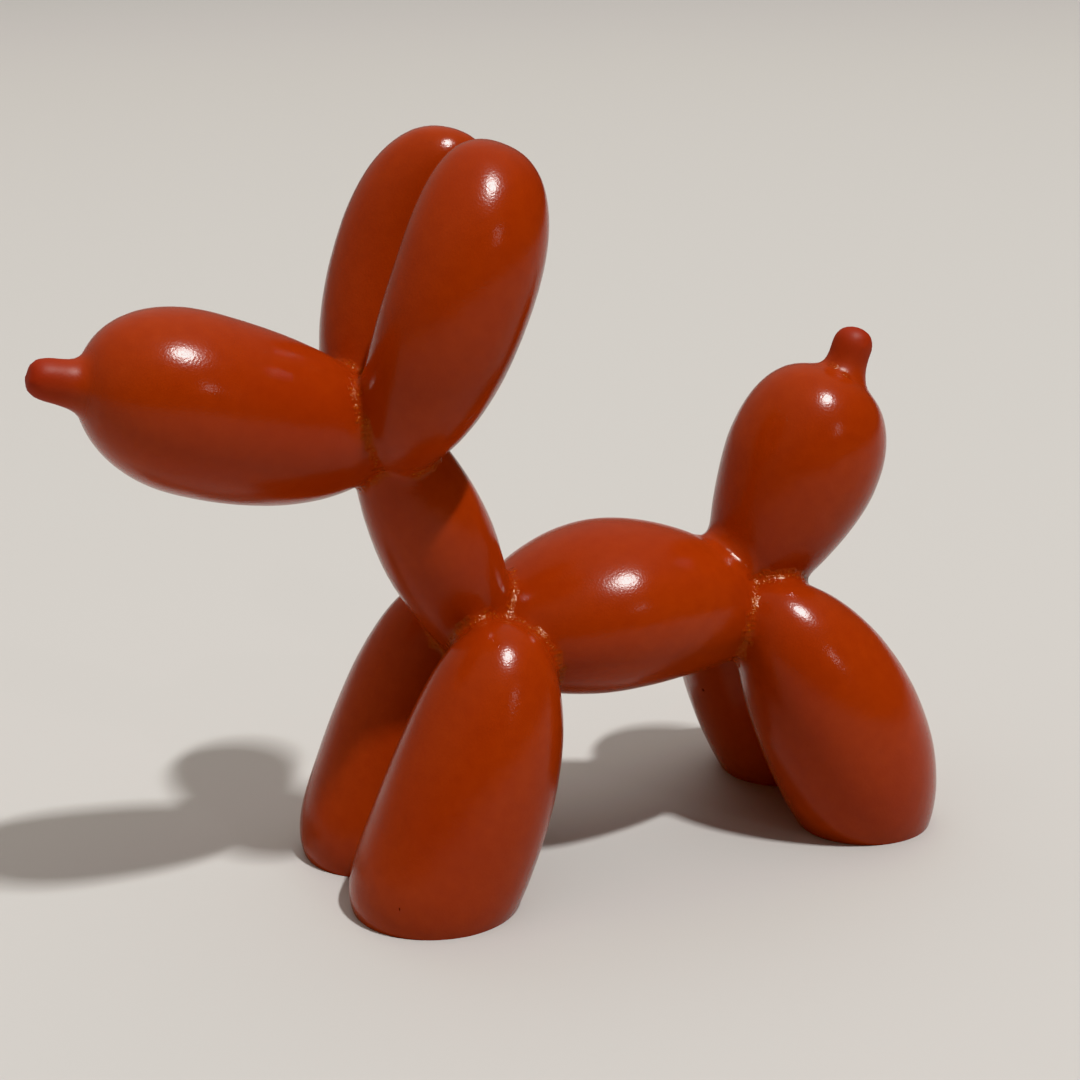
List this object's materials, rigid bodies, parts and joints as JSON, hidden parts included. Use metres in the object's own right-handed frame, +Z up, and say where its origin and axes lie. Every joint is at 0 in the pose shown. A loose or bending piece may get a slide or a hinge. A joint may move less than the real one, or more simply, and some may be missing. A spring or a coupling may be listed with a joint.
{
  "type": "balloon poodle figurine",
  "caption": "Cast resin figurine of a twisted-balloon poodle: egg-shaped lobes joined at knots, tall ears, knobbed nose and tail, flat-cut feet.",
  "frame": {"origin": "middle of the figurine's box, on the plane that its four feet stand on", "axes": "+X towards the tail, so the dog faces -X; +Y towards its right side; +Z up"},
  "size_m": [0.1618, 0.0596, 0.1319],
  "materials": {
    "orange_paint": "satin"
  },
  "bodies": {
    "root": {"balloon_poodle": "orange_paint"}
  },
  "joints": []
}
